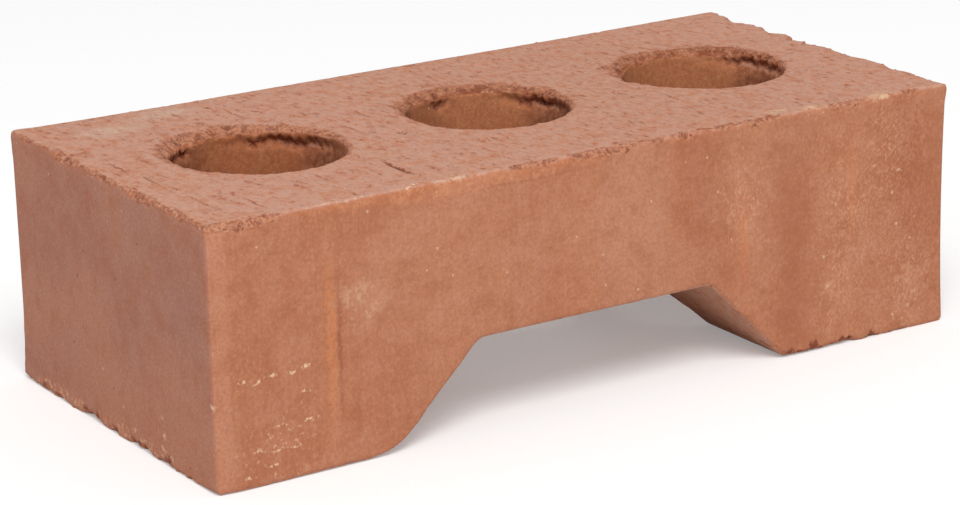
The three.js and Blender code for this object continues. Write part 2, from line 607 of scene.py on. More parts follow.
@dataclass
class ClayBody:
    """The brick's fired body, made finer than the solid, in millimetres."""

    outline: BrickOutline
    wear: EdgeWear = field(default_factory=EdgeWear)
    warp: KilnWarp = field(default_factory=KilnWarp)
    relief: WireRelief = field(default_factory=WireRelief)
    blank_pitch: float = 0.55
    skin_pitch: float = 0.42
    triangle_budget: int = 190_000

    def build(self, clay: bpy.types.Material) -> bpy.types.Object:
        """Makes the body.

        Args:
            clay: The finish that it wears.

        Returns:
            The finished piece, one closed mesh.
        """
        body = new_object("brick_body", self.blank())
        self.refine(body, self.blank_pitch)
        self.shape(
            body.data, self.sharpen, self.mark_edges, self.hang_burrs, self.bend,
            self.score_top, self.drag_rims,
        )
        run_tree(body, self.relief.build(clay), self.relief.inputs())
        rough = new_object("brick_rough", body.data.copy())
        self.refine(body, self.skin_pitch)
        self.thin(body)
        self.keep_whole(body.data)
        self.shape(body.data, self.settle)
        self.carry_over(body, rough)
        bpy.data.objects.remove(rough)
        body.data.materials.clear()
        body.data.materials.append(clay)
        body.data.shade_smooth()
        return body

    @staticmethod
    def shape(mesh: bpy.types.Mesh, *steps: Callable[[np.ndarray, bpy.types.Mesh], None]) -> None:
        """Runs steps that each move the mesh's points, given to them in millimetres.

        Args:
            mesh: The mesh that they shape.
            steps: What moves its points in place, one after another.
        """
        for step in steps:
            points = points_of(mesh)
            step(points, mesh)
            mesh.vertices.foreach_set("co", (points * MM).astype(np.float32).ravel())
            mesh.update()

    def blank(self) -> bpy.types.Mesh:
        """Copies the brick's solid.

        Returns:
            The copy, with its points merged.
        """
        mesh = frame["nodes"][CLAY_NODE].data.copy()
        mesh.materials.clear()
        edit = bmesh.new()
        edit.from_mesh(mesh)
        bmesh.ops.remove_doubles(edit, verts=edit.verts, dist=0.001 * MM)
        edit.to_mesh(mesh)
        edit.free()
        return mesh

    @staticmethod
    def refine(piece: bpy.types.Object, pitch: float) -> None:
        """Remakes the surface as one closed skin of faces of one size, the pitch.

        Args:
            piece: The body.
            pitch: The size of a face.
        """
        modifier = piece.modifiers.new("even_skin", "REMESH")
        modifier.mode = "VOXEL"
        modifier.voxel_size = pitch * MM
        modifier.use_smooth_shade = True
        bake_modifiers(piece)

    def thin(self, piece: bpy.types.Object) -> None:
        """Takes faces out of the flat stretches until the piece is within its budget.

        Args:
            piece: The body.
        """
        piece.data.calc_loop_triangles()
        modifier = piece.modifiers.new("fewer_flat_faces", "DECIMATE")
        modifier.ratio = min(1.0, self.triangle_budget / len(piece.data.loop_triangles))
        modifier.use_collapse_triangulate = True
        bake_modifiers(piece)

    @staticmethod
    def keep_whole(mesh: bpy.types.Mesh) -> None:
        """Drops any crumb that came loose, so that the body is one closed skin.

        Args:
            mesh: The body's mesh.
        """
        edit = bmesh.new()
        edit.from_mesh(mesh)
        left = set(edit.verts)
        islands = []
        while left:
            island = [left.pop()]
            for point in island:  # the island grows as it is walked
                near = {link.other_vert(point) for link in point.link_edges} & left
                left -= near
                island += near
            islands.append(island)
        loose = [point for island in sorted(islands, key=len)[:-1] for point in island]
        bmesh.ops.delete(edit, geom=loose, context="VERTS")
        edit.to_mesh(mesh)
        edit.free()

    def arrises(
        self, points: np.ndarray
    ) -> Iterator[tuple[Along, np.ndarray, np.ndarray, np.ndarray]]:
        """Goes round the four arrises of a bed face.

        Args:
            points: The body's points.

        Returns:
            For each arris: which one it is, the points on its half of the brick, where
            they lie along it, and how far they lie from its side.
        """
        x, y, _ = points.T
        to_end = self.outline.length / 2 - np.abs(x)
        to_side = self.outline.width / 2 - np.abs(y)
        yield Along.FRONT, y < 0, x, to_side
        yield Along.BACK, y >= 0, x, to_side
        yield Along.LEFT, x < 0, y, to_end
        yield Along.RIGHT, x >= 0, y, to_end

    def sharpen(self, points: np.ndarray, _: bpy.types.Mesh) -> None:
        """Draws the solid's rounded upright arrises out to the sharper ones of the die.

        Args:
            points: The body's points, moved in place.
        """
        whole = self.outline.arris_radius
        inset = whole - self.warp.arris_radius
        half = np.array([self.outline.length, self.outline.width]) / 2 - whole
        over = np.abs(points[:, :2]) - half
        corner = (over > 0.0).all(axis=1)
        u, v = over[corner].T
        angle = np.arctan2(v, u)
        # How far the new outline lies from the old arris's centre, at each angle.
        middle = inset * (np.cos(angle) + np.sin(angle))
        round_part = middle + np.sqrt(
            np.maximum(middle ** 2 - 2 * inset ** 2 + self.warp.arris_radius ** 2, 0.0)
        )
        flat_part = whole / np.maximum(np.cos(angle), np.sin(angle))
        is_flat = np.minimum(np.cos(angle), np.sin(angle)) * flat_part < inset
        far = np.where(is_flat, flat_part, round_part) / whole
        moved = half + np.stack([u * far, v * far], axis=1)
        points[corner, :2] = np.sign(points[corner, :2]) * moved

    def mark_edges(self, points: np.ndarray, mesh: bpy.types.Mesh) -> None:
        """Stores what the relief needs to know about each point.

        Args:
            points: The body's points.
            mesh: The mesh that gets the marks.
        """
        x, y, z = points.T
        outline, wear = self.outline, self.wear
        zero = np.zeros_like(x)

        # The nearest upright face: an end, a side or a core's wall.
        to_end = outline.length / 2 - np.abs(x)
        to_side = outline.width / 2 - np.abs(y)
        outer = np.minimum(to_end, to_side)
        from_axis = x - outline.nearest_core(x)
        radial = np.maximum(np.hypot(from_axis, y), 1.0)
        to_core = radial - outline.core_radius
        at_core = to_core < outer
        at_end = to_end < to_side
        side_gap = np.maximum(np.where(at_core, to_core, outer), 0.0)
        side_out = np.stack([
            np.where(at_core, -from_axis / radial, np.where(at_end, np.sign(x), 0.0)),
            np.where(at_core, -y / radial, np.where(at_end, 0.0, np.sign(y))),
            zero,
        ], axis=1)

        # The nearest face that the wire cut: the top, or the underside with its notch.
        half_step = 0.5
        slope = outline.underside(x + half_step) - outline.underside(x - half_step)
        length = np.hypot(slope, 1.0)
        to_low = (z - outline.underside(x)) / length
        to_top = outline.height - z
        upper = to_top < to_low
        cut_gap = np.maximum(np.where(upper, to_top, to_low), 0.0)
        cut_out = np.stack([
            np.where(upper, 0.0, slope / length), zero, np.where(upper, 1.0, -1.0 / length),
        ], axis=1)

        # The wire came in over the front and tore the far side of every core.
        turn = np.degrees(np.arctan2(y, from_axis))
        rim = zero
        for centre, tears in zip(outline.cores, wear.core_rims):
            rim = np.where(outline.nearest_core(x) == centre, between(tears, turn), rim)
        reach = np.where(upper, rim, wear.core_rim_below)
        in_notch = outline.underside(x) > 1.0
        for along, half, place, _ in self.arrises(points):
            high = between(wear.top[along], place)
            low = np.where(in_notch, wear.notch, between(wear.bottom[along], place))
            mine = half & (at_end == (along in (Along.LEFT, Along.RIGHT))) & ~at_core
            reach = np.where(mine, np.where(upper, high, low), reach)

        down = reach * np.where(at_core & upper, wear.rim_steepness, wear.steepness)
        way = -(side_out + cut_out)
        way /= np.linalg.norm(way, axis=1)[:, None]
        inward = -np.einsum("ij,ij->i", way, side_out)
        downward = -np.einsum("ij,ij->i", way, cut_out)
        store(mesh, Mark.EDGE, 1.0 - side_gap / reach - cut_gap / down)
        store(mesh, Mark.DEPTH, MM / (inward / reach + downward / down))
        store(mesh, Mark.WAY, way)
        store(mesh, Mark.WIRE_CUT, smoothstep(0.7, 0.1, cut_gap))

    def hang_burrs(self, points: np.ndarray, _: bpy.types.Mesh) -> None:
        """Pulls the clay down in lumps along the arrises of the bed.

        Args:
            points: The body's points, moved in place.
        """
        broad, crisp, tall = 4.0, 0.5, 5.0  # how far in from the arris and how far up
        drop = np.zeros(len(points))
        for along, half, place, gap in self.arrises(points):
            near = smoothstep(broad, crisp, gap) * smoothstep(tall, 0.0, points[:, 2])
            hang = near * between(self.wear.burrs[along], place)
            drop = np.maximum(drop, np.where(half, hang, 0.0))
        points[:, 2] -= drop

    def bend(self, points: np.ndarray, _: bpy.types.Mesh) -> None:
        """Moves the top off true, waists the ends, and wears one arris and one foot.

        Args:
            points: The body's points, moved in place.
        """
        outline, warp = self.outline, self.warp
        x, y, z = points.T  # whatever moves these moves the points
        right, back, top = x / outline.length + 0.5, y / outline.width + 0.5, z / outline.height

        # The left foot's nose, brought onto an arc that touches the bed and the slope.
        ceiling = outline.profile_z.max()
        foot = outline.profile_x[(outline.profile_z < HAIR) & (outline.profile_x < 0)].max()
        rise_end = outline.profile_x[outline.profile_z > ceiling - HAIR].min()
        pitch = math.atan2(ceiling, rise_end - foot)
        along = x - (foot - warp.nose_radius * math.tan(pitch / 2))
        up = z - warp.nose_radius
        reach, wedge = np.hypot(along, up), np.arctan2(along, -up)
        outside = (wedge > 0) & (wedge < pitch) & (reach > warp.nose_radius)
        pull = np.where(outside, warp.nose_radius / np.maximum(reach, 1.0), 1.0)
        x += along * (pull - 1.0)
        z += up * (pull - 1.0)

        # The scoop that the wire took out of the left slope.
        middle, half, depth = warp.scoop
        above = z - outline.underside(x)
        low = smoothstep(warp.scoop_height, 0.0, above)
        z += depth * (np.exp(-((x - middle) / half) ** 2) * low)

        # The worn strip beside the front left arris.
        strip = np.clip(1.0 - right * outline.length / warp.flat_width, 0.0, 1.0)
        y += warp.flat_fall * strip * smoothstep(0.1, 0.0, back)

        # The ends, waisted and flared, and then the top and the notch, off level.
        bow = 1.0 - (2.0 * top - 1.0) ** 2
        lip = warp.end_lip * smoothstep(outline.height - warp.lip_height, outline.height, z)
        flare = warp.left_back_flare * np.exp(-z / warp.flare_height)
        near_start = smoothstep(0.3, 0.0, right) * smoothstep(0.6, 1.0, back)
        x += right * (back * warp.right_back_reach + warp.right_reach)
        x += smoothstep(0.8, 1.0, right) * (lip - warp.end_waist * bow)
        corner_lip = warp.left_back_lip * smoothstep(0.06, 0.0, right) * smoothstep(0.88, 1.0, top)
        y += near_start * (flare + corner_lip - warp.left_back_waist * bow)
        left_rise, right_rise, sag = (
            (1 - back) * front + back * rear
            for front, rear in (warp.left_rise, warp.right_rise, (warp.front_sag, warp.back_sag))
        )
        rise = (1 - right) * left_rise + right * right_rise - 4 * right * (1 - right) * sag
        waist, chest = 0.4, 0.6  # shares of the height between which the two fade
        z += rise * smoothstep(waist, 1.0, top) + warp.bed_lift
        z -= warp.notch_drop * smoothstep(0.0, 0.2, top) * smoothstep(chest, waist, top)

    def score_top(self, points: np.ndarray, _: bpy.types.Mesh) -> None:
        """Cuts the grooves that stones under the wire left in the top.

        Args:
            points: The body's points, moved in place.
        """
        skin = 1.5  # how deep below the top a point may lie and still move
        x, y, z = points.T
        drop = np.zeros(len(points))
        for at_x, at_y, across, along, depth in self.wear.scores:
            far = np.hypot((x - at_x) / across, (y - at_y) / along)
            drop = np.maximum(drop, depth * smoothstep(1.0, 0.3, far))
        z -= drop * smoothstep(self.outline.height - 2 * skin, self.outline.height - skin, z)

    def drag_rims(self, points: np.ndarray, mesh: bpy.types.Mesh) -> None:
        """Spreads each core's rim the way that the wire pushed it, and hollows its wall.

        Args:
            points: The body's points, moved in place.
            mesh: The mesh that gets the marks.
        """
        outline, warp = self.outline, self.warp
        rim = outline.core_radius
        hollow = np.zeros(len(points))
        deep, wide = 9.0, 8.0  # how far down and out the push is felt
        hollow_foot = 0.1  # the least hollow that tears
        for centre, (reach, degrees), hollows in zip(
            outline.cores, warp.rim_drag, warp.rim_hollows
        ):
            offset = points[:, :2] - np.array([centre, 0.0])
            radial = np.hypot(*offset.T)
            angle = np.arctan2(offset[:, 1], offset[:, 0])
            fade = smoothstep(outline.height - deep, outline.height, points[:, 2])
            fade *= smoothstep(rim + wide, rim, radial)
            fade *= smoothstep(rim - 3.0, rim - 1.0, radial)
            spread = reach * fade * np.maximum(np.cos(angle - math.radians(degrees)), 0.0)
            turn = np.degrees(angle)
            drop = outline.height + warp.bed_lift - warp.hollow_drop - points[:, 2]
            lumps = np.sin(0.31 * turn + 2.0 * np.sin(0.07 * turn)) + np.sin(0.9 * turn)
            wall = smoothstep(rim + 1.6, rim + 0.4, radial)
            wall *= np.exp(-(drop / warp.hollow_height + 0.3 * lumps) ** 2)
            for middle, half, depth in hollows:
                here = wall * np.exp(-((turn - middle) / half) ** 2)
                spread += depth * here * (1.0 + 0.2 * lumps)
                hollow = np.maximum(hollow, here)
            points[:, :2] += offset * (spread / np.maximum(radial, 1.0))[:, None]
        store(mesh, Mark.HOLLOW, hollow)
        edge = np.empty(len(points), np.float32)
        mesh.attributes[Mark.EDGE.value].data.foreach_get("value", edge)
        torn = np.maximum(edge, hollow - warp.hollow_margin)
        store(mesh, Mark.EDGE, np.where(hollow > hollow_foot, torn, edge))

    def settle(self, points: np.ndarray, _: bpy.types.Mesh) -> None:
        """Flattens whatever hangs lower than the floor or stands above the wire's path."""
        points[:, 2] = np.clip(points[:, 2], 0.0, self.warp.tallest)

    @staticmethod
    def carry_over(piece: bpy.types.Object, rough: bpy.types.Object) -> None:
        """Copies the marks of the tears from the rough body to the finished one.

        Args:
            piece: The finished body.
            rough: The body that the relief made.
        """
        tree, made = new_tree("carry_marks", {"Rough body": "Object"})
        source = add_node(tree, "GeometryNodeObjectInfo", {"Object": made["Rough body"]})
        body = made["Geometry"]
        for mark in (Mark.TORN, Mark.PIT):
            value = add_node(tree, "mark FLOAT", (mark.value,))
            sampled = add_node(
                tree, "GeometryNodeSampleNearestSurface",
                {"Mesh": source.outputs["Geometry"], "Value": value}, data_type="FLOAT",
            )
            marked = {"Geometry": body, "Name": mark.value, "Value": sampled}
            body = add_node(tree, "store FLOAT", marked)
        add_node(tree, "NodeGroupOutput", (body,))
        run_tree(piece, tree, {"Rough body": rough})


# ------------------------------------------------------------------ the finishes


@dataclass(frozen=True)
class Grain:
    """One noise of the clay."""

    size: tuple[float, float, float]  # of one blotch along X, Y and Z, in millimetres
    detail: float  # how many finer octaves it carries


@dataclass(frozen=True)
class Pick:
    """The part of a grain that counts as a pattern, from none of it to all of it."""

    grain: str
    low: float
    high: float


@dataclass(frozen=True)
class Speck:
    """Grit scattered through the clay, one to a cell, in some of the cells."""

    spacing: float  # the size of a cell, in millimetres
    radius: float  # the size of a grain of grit, in millimetres
    share: float  # the share of cells that have one


@dataclass(frozen=True)
class Spots:
    """A group of marks at known places, all of one kind, in millimetres."""

    places: tuple[tuple[float, float, float], ...]  # the middle of each
    half: tuple[float, float, float]  # half of the size of each along X, Y and Z
    soft: float  # the share of that size over which a mark fades out
    stray: float  # how far its outline wanders


@dataclass(frozen=True)
class Tint:
    """A colour laid over the clay wherever all of its masks, named in a row, allow it."""

    colour: str
    strength: float
    masks: str


@dataclass(frozen=True)
class Dent:
    """A change of height, in millimetres, wherever all of its masks allow it."""

    height: float
    masks: str


@dataclass(frozen=True)
class FiredClay:
    """Unglazed red clay, extruded, wire-cut and fired: a matt, slightly chalky face.

    The die leaves its upright faces smooth, with streaks along the column. The wire drags
    its cut faces into flecks and scratches, and opens crumbs and holes at every edge. The
    ends fired to a duller purple brown, lime has come up pale near the feet, and the
    clay's own grit shows as pale and dark specks.
    """

    outline: BrickOutline
    long_face: str = "#b87555"
    roughness: float = 0.9
    gloss: float = 0.3
    grains: dict[str, Grain] = field(default_factory=lambda: {
        "clouds": Grain((26, 26, 26), 1), "mottle": Grain((6, 6, 6), 2),
        "sand": Grain((0.7, 0.7, 0.7), 1), "bands": Grain((9, 300, 300), 0),
        "streaks": Grain((0.9, 60, 24), 1), "rain": Grain((0.6, 60, 1), 1),
        "drag": Grain((1.4, 3, 2.2), 2), "stains": Grain((2.3, 2.8, 2.3), 2),
        "crumbs": Grain((1.5, 1.5, 1.5), 2), "layers": Grain((3.2, 3.2, 0.8), 2),
    })
    picks: dict[str, Pick] = field(default_factory=lambda: {
        "cloud": Pick("clouds", 0.35, 0.65), "blush": Pick("mottle", 0.46, 0.7),
        "shade": Pick("mottle", 0.48, 0.3), "grit": Pick("sand", 0.55, 0.3),
        "glint": Pick("sand", 0.58, 0.75), "bits": Pick("sand", 0.48, 0.58),
        "band": Pick("bands", 0.4, 0.6), "streak": Pick("streaks", 0.45, 0.75),
        "drip": Pick("rain", 0.54, 0.68), "furrow": Pick("drag", 0.42, 0.62),
        "fleck": Pick("drag", 0.43, 0.33), "patch": Pick("mottle", 0.62, 0.42),
        "rust": Pick("stains", 0.5, 0.66), "ash": Pick("stains", 0.48, 0.34),
        "lump": Pick("stains", 0.44, 0.62), "cavity": Pick("stains", 0.45, 0.37),
        "crack": Pick("layers", 0.42, 0.33), "nick": Pick("drag", 0.32, 0.28),
        "crumb": Pick("crumbs", 0.4, 0.62), "dust": Pick("crumbs", 0.5, 0.62),
        "crust": Pick("crumbs", 0.57, 0.63),
    })
    specks: dict[str, Speck] = field(default_factory=lambda: {
        "lime": Speck(4.3, 0.4, 0.28), "iron": Speck(3.8, 0.42, 0.22),
    })
    spots: dict[str, Spots] = field(default_factory=lambda: {
        "scratches": Spots((
            (-88.8, -29, 57.8), (-91.4, 4, 58), (-90.1, -9.4, 58), (-49, 29.8, 57.8), (-25.6, 12, 57.2),
            (-34, 1, 57.2), (-80.4, -36.5, 57.6), (39, -18.1, 56.8), (58.6, 30.1, 57),
        ), (0.42, 6.2, 4), 0.5, 0.45),
        "gash": Spots(((-42.6, -31.7, 58),), (0.8, 8.8, 4), 0.5, 0.4),
        "chips": Spots(((-26.6, -7, 57.4), (31.6, -7.2, 57)), (1.4, 2.6, 4), 0.4, 1.2),
        # A painted highlight on the worn bevel beside the front left arris.
        "strip": Spots(((-97, -46, 28),), (4.6, 3, 300), 0.25, 0.3),
        "warm_foot": Spots(((-97, -30, 0),), (3, 60, 30), 1, 2),
        "pale_band": Spots(((9, -46, 28),), (11.5, 3, 300), 0.4, 0.6),
        "dark_band": Spots(((25.5, -46, 28), (52.5, -46, 28)), (7.5, 3, 300), 0.9, 1.5),
        "far_band": Spots(((86, -46, 34),), (9, 3, 60), 0.8, 5),
        "joint": Spots(((-66.8, -46, 26),), (0.8, 3, 23), 0.9, 0.4),
        "joint_lip": Spots(((-68.9, -46, 28),), (1.7, 3, 26), 0.6, 1),
        "left_lime": Spots(((-81, -46, 8),), (14, 3, 14), 0.8, 3),
        "left_crust": Spots((
            (-90.2, -46, 23.9), (-86.6, -46, 23.5), (-83, -46, 23.8), (-78.4, -46, 24.2),
            (-48, -46, 58.3), (-37.5, -46, 58.2), (-75.3, -46, 24.5), (-75.5, -46, 19), (-81.5, -46, 13),
            (-74.6, -46, 12.8), (-78, -46, 7.5), (-82.6, -46, 8), (-84.1, -46, 4.5), (-89.4, -46, 2.6),
            (-87.2, -46, 8),
        ), (2.2, 3, 0.55), 0.7, 1),
        # Painted shade: dark spots in the gaps along the bottom edges.
        "foot_gaps": Spots((
            (-97, 36.1, 0.8), (-97, 29.2, 0.9), (-97, 15.4, 1.2), (-97, 9.6, 1), (-97, 0.5, 0.8),
            (-97, -7.7, 1.1), (-97, -13.4, 1), (-97, -24.3, 1.6), (58.6, -46, 1.2), (67, -46, 1.2),
            (51.9, -46, 1.2), (75.7, -46, 0.9), (-97, -10.9, 1.3),
        ), (1.6, 1.6, 1.5), 0.6, 1),
        # Painted shade in the gaps of the torn top front arris.
        "arris_gaps": Spots((
            (1.8, -45.8, 57), (6, -45.8, 57), (-15.5, -46, 57.4), (23.5, -46, 57.1), (41, -46, 57.1),
            (64.5, -46, 57), (70, -46, 57), (85.5, -46, 57), (-89, -46, 57.2), (-86, -46, 57.4),
            (-83.6, -46, 57.8),
        ), (2, 1.8, 1.2), 0.8, 1),
        "foot_crumbs": Spots(((-97, 27, 0.8), (-97, -8, 1)), (3, 20, 3.4), 0.4, 1.4),
        "end_bloom": Spots(((-97, -16, 52), (-97, -34, 38)), (3, 17, 13), 1, 3),
        "end_specks": Spots((
            (-97, -9.2, 3.9), (-97, -22.6, 11.2), (-97, -23.2, 6.3), (-97, -22.6, 3.1), (-97, -26, 2.3),
            (-97, -44.8, 18.9),
        ), (3, 1, 1.2), 0.8, 0.9),
        "right_face": Spots(((78, -46, 27),), (36, 3, 60), 0.7, 4),
        "right_lime": Spots((
            (39, -46, 40), (69, -46, 34), (66, -46, 14), (87, -46, 12), (80, -46, 44),
        ), (8, 3, 17), 0.8, 4),
        "smooth_clay": Spots(((52, -46, 35), (53.5, -46, 14), (93, -46, 38)), (9.4, 3, 21), 0.5, 2.5),
        "orange_streaks": Spots(((38.4, -46, 30), (69, -46, 38)), (1.7, 3, 16), 0.9, 1.2),
        "pale_grit": Spots((
            (83.2, -46, 39.2), (81.2, -46, 34.1), (82.6, -46, 26.6), (61.2, -46, 22.3), (62.6, -46, 15.4),
            (86.3, -46, 6), (81.8, -46, 4.5),
        ), (0.6, 3, 0.6), 0.6, 0.4),
        "score": Spots(((-7, -46, 39.2),), (12, 3, 0.5), 0.8, 0.3),
        # Painted shadow line under a small ledge below the top front arris.
        "ledge": Spots(((-21, -46, 55),), (26, 3, 0.5), 0.8, 0.4),
        "top_band": Spots(((-38, -46, 57.2),), (44, 3, 2.8), 0.5, 1),
        "arris_line": Spots(((-63, -46, 58.5), (-35, -46, 58.5)), (16, 1.1, 0.45), 0.6, 0.3),
        "haze": Spots(((-58.8, -46, 34.5), (-61, -46, 37)), (7.5, 3, 6.5), 0.9, 2.5),
        "edge_lime": Spots((
            (50, -43.2, 57.6), (58, -44.6, 57.5), (78, -45.2, 57.3),
        ), (5.4, 1.7, 1.7), 0.6, 1),
        "top_blotch": Spots(((-78, 33, 58), (-62, 39.5, 58)), (13, 7, 4), 0.8, 2),
        "warm_top": Spots(((26, 6, 57.5),), (66, 90, 8), 0.6, 3),
        "dark_rims": Spots(((0.5, 2.5, 57), (62.5, 4.5, 57)), (21.5, 21.5, 6), 0.15, 1),
        "wall_shade": Spots(((-70.5, 12, 40), (-66, 15.5, 40), (-4.5, 16.2, 40)), (8, 7, 60), 0.9, 1.5),
        "rim_ring": Spots(((-61, 4, 57.5), (0, 4, 57.5), (60.5, 4, 57.5)), (24, 23, 6), 0.14, 2.6),
        "left_core": Spots(((-60, 0, 40),), (24, 24, 60), 0.2, 0.5),
        # Painted shade at the two ends of each core's wall.
        "core_sides": Spots((
            (-76.5, 9, 40), (-43.2, -1, 40), (-16.3, 9, 40), (17, -1, 40), (43.9, 9, 40), (77.2, -1, 40),
        ), (7.5, 12.5, 60), 0.6, 1.5),
    })
    tints: tuple[Tint, ...] = tuple(Tint(*row) for row in (
        # What the die leaves on the long faces, with a painted highlight on the worn strip and a painted
        # shadow line under a ledge.
        ("#a9684a", 0.25, "band"), ("#c9906f", 0.16, "streak"), ("#b06a46", 0.5, "right_face"),
        # Painted highlight: the strip tint on the next line lightens the worn bevel beside the front left
        # arris, where it would catch the light.
        ("#d59b75", 0.16, "drip"), ("#c4866a", 0.45, "strip"), ("#c58c72", 0.35, "pale_band"),
        ("#a9674a", 0.5, "dark_band"), ("#a76145", 0.65, "far_band"), ("#cb8053", 0.7, "joint_lip"),
        ("#955439", 0.6, "joint"), ("#cd8f6d", 0.3, "score"), ("#cb7d53", 0.35, "top_band"),
        # Painted shade: the last tint on the next line draws the shadow line under a small ledge below
        # the top front arris.
        ("#d9986b", 0.4, "top_band dust"), ("#9f5e41", 0.45, "ledge"),
        # The other faces, each as it fired; the notch is also painted paler, for light that the floor
        # would bounce into it.
        ("#c7917b", 1, "cut"), ("#ae745f", 1, "end"), ("#c18e76", 1, "notch"),
        # Slow changes of tone, and painted shade on the walls of the cores.
        ("#cb9172", 0.25, "cloud"), ("#c98d71", 0.3, "blush"), ("#a5786a", 0.3, "blush end"),
        ("#a4613f", 0.3, "shade"), ("#bd7c5c", 0.4, "warm_foot"), ("#a17b71", 0.35, "end_bloom end"),
        # Painted shade: the last tint on the next line darkens the ends of each core's wall, and the two
        # tints on the line after darken its back wall, where shade falls.
        ("#bb774f", 1, "core"), ("#a65b34", 0.5, "core left_core"), ("#6b3522", 0.8, "core core_sides"),
        ("#7d4429", 0.4, "core wall_shade"), ("#7d4429", 0.5, "core wall_shade left_core"),
        ("#a4603d", 0.2, "core shade"), ("#8f5235", 0.18, "core furrow"),
        ("#cc8e66", 0.25, "core crumb"), ("#bd8468", 0.35, "warm_top cut"),
        ("#a8654a", 0.6, "rim_ring lump cut"),
        # The fine grain.
        ("#8f563f", 0.22, "grit"), ("#8f563f", 0.15, "grit core"), ("#dfb293", 0.13, "glint"),
        ("#d0a18b", 0.38, "furrow cut"), ("#be7853", 0.5, "rust cut"), ("#bb9484", 0.26, "ash cut"),
        ("#ab5f3d", 0.6, "fleck patch cut"), ("#8a4a31", 0.45, "nick cut"), ("#dfb698", 0.65, "lime"),
        ("#8a4d36", 0.3, "iron"), ("#7b4433", 0.6, "iron end"),
        # What came up pale in the kiln, and painted shade in the gaps along the bottom edges.
        ("#e4bd99", 0.5, "left_lime crust bits"), ("#ecc9a5", 0.8, "left_crust bits"),
        ("#cd9370", 0.3, "right_lime blush"), ("#d79f7c", 0.3, "right_lime dust"),
        ("#dba583", 0.5, "right_lime drip"), ("#d9a581", 0.2, "right_face crumb bits"),
        ("#a96445", 0.4, "smooth_clay"), ("#cd8055", 0.4, "orange_streaks"),
        ("#dfb99c", 0.6, "pale_grit"), ("#cf8b64", 0.5, "foot_crumbs crumb"),
        # Painted shade: the last tint on the next line darkens the gaps along the bottom edges.
        ("#dfae8d", 0.6, "foot_crumbs crumb bits"), ("#73331f", 0.8, "foot_gaps"),
        ("#ddb59a", 0.8, "end_specks crumb"), ("#d2a082", 0.25, "haze"), ("#e2b894", 0.35, "haze dust"),
        ("#dcb28a", 0.3, "edge_lime"), ("#e4c39c", 0.6, "edge_lime crumb"),
        ("#e8cdb4", 0.45, "arris_line crumb"), ("#c6a996", 0.45, "top_blotch"),
        ("#dcb899", 0.45, "top_blotch dust"),
        # What the wire tore, with painted shade in its pits, cavities, gaps and brinks and painted
        # highlights on its crumbs.
        ("#b26c4b", 0.6, "torn"), ("#bb6c46", 0.45, "torn side"), ("#8a4a2a", 0.58, "torn dark_rims"),
        # Partly painted light: the lump tint on the next line lightens the raised crumbs as a painted
        # highlight, and the cavity tint darkens the sunken ones as painted shade.
        ("#cd9475", 0.35, "torn lump"), ("#83472f", 0.5, "torn cavity"), ("#85452d", 0.4, "torn crack"),
        ("#6f3825", 0.38, "torn grit"), ("#dba583", 0.35, "torn glint"),
        # Painted shade: the second tint on the next line darkens the pits and the hollows under the rims.
        # Painted shadow: the first tint on the next line darkens the brink of each tear, where its
        # undercut would lie in shade.
        ("#8c3f25", 0.75, "brink flat rust"), ("#5a2b1b", 0.6, "pit"), ("#8c4b32", 0.6, "scratches"),
        # Painted shade: the last tint on the next line darkens the gaps in the torn top front arris.
        ("#7a412b", 0.85, "gash"), ("#6a3826", 0.8, "chips crumb"), ("#7a3e29", 0.8, "arris_gaps grit"),
    ))
    dents: tuple[Dent, ...] = (
        Dent(-0.02, "grit"), Dent(-0.04, "grit cut"), Dent(0.08, "furrow cut"),
        Dent(-0.05, "fleck cut"), Dent(-0.08, "nick cut"), Dent(0.2, "torn lump"),
        Dent(-0.22, "torn cavity"),
    )

    def add_faces(self, tree: bpy.types.NodeTree, made: Made) -> None:
        """Adds a mask for each kind of face.

        Args:
            tree: The material's tree.
            made: Where a point lies in millimetres ("place") and which way the surface
                faces there ("facing"). The masks join them.
        """
        end, top, rim = self.outline.length / 2, self.outline.height, self.outline.core_radius
        pitch = self.outline.cores[1] - self.outline.cores[0]
        add_steps(tree, made, (
            ("turned", "ShaderNodeSeparateXYZ", "facing"),
            ("at", "ShaderNodeSeparateXYZ", "place"),
            ("endwise", "math ABSOLUTE", "turned.X"),
            ("level", "math ABSOLUTE", "turned.Z"),
            # How far out from the axis of the nearest core a point lies.
            ("from_axis", "math WRAP", "at.X", pitch / 2, -pitch / 2),
            ("on_plan", "ShaderNodeCombineXYZ", "from_axis", "at.Y"),
            ("radial", "vector LENGTH", "on_plan"),
            ("in_core", "range SMOOTHSTEP", "radial", rim + 1.6, rim + 0.8),
            ("off_rim", "range LINEAR", "radial", rim + 5.0, rim + 7.0),
            # What the wire cut is level or sloping, and outside of the cores.
            ("sloping", "range SMOOTHSTEP", "level", 0.4, 0.75),
            ("sunk", "range LINEAR", "at.Z", top, top - 0.8),
            ("inside", "math MULTIPLY", "in_core", "sunk"),
            ("open_face", "math SUBTRACT", 1.0, "inside"),
            ("cut", "math MULTIPLY", "sloping", "open_face"),
            ("side", "math SUBTRACT", 1.0, "cut"),
            ("core", "math MULTIPLY", "in_core", "side"),
            ("bed", "range SMOOTHSTEP", "level", 0.8, 0.92),
            ("flat", "math MULTIPLY", "bed", "off_rim"),
            ("far_out", "math ABSOLUTE", "at.X"),
            ("near_end", "range LINEAR", "far_out", end - 5, end - 4),
            ("faces_end", "range LINEAR", "endwise", 0.6, 0.75),
            ("end", "math MULTIPLY", "near_end", "faces_end"),
            ("off_bed", "range LINEAR", "at.Z", 1.2, 2.0),
            ("below", "range LINEAR", "at.Z", top - 15, top - 20),
            ("raised", "math MULTIPLY", "cut", "off_bed"),
            ("notch", "math MULTIPLY", "raised", "below"),
        ))

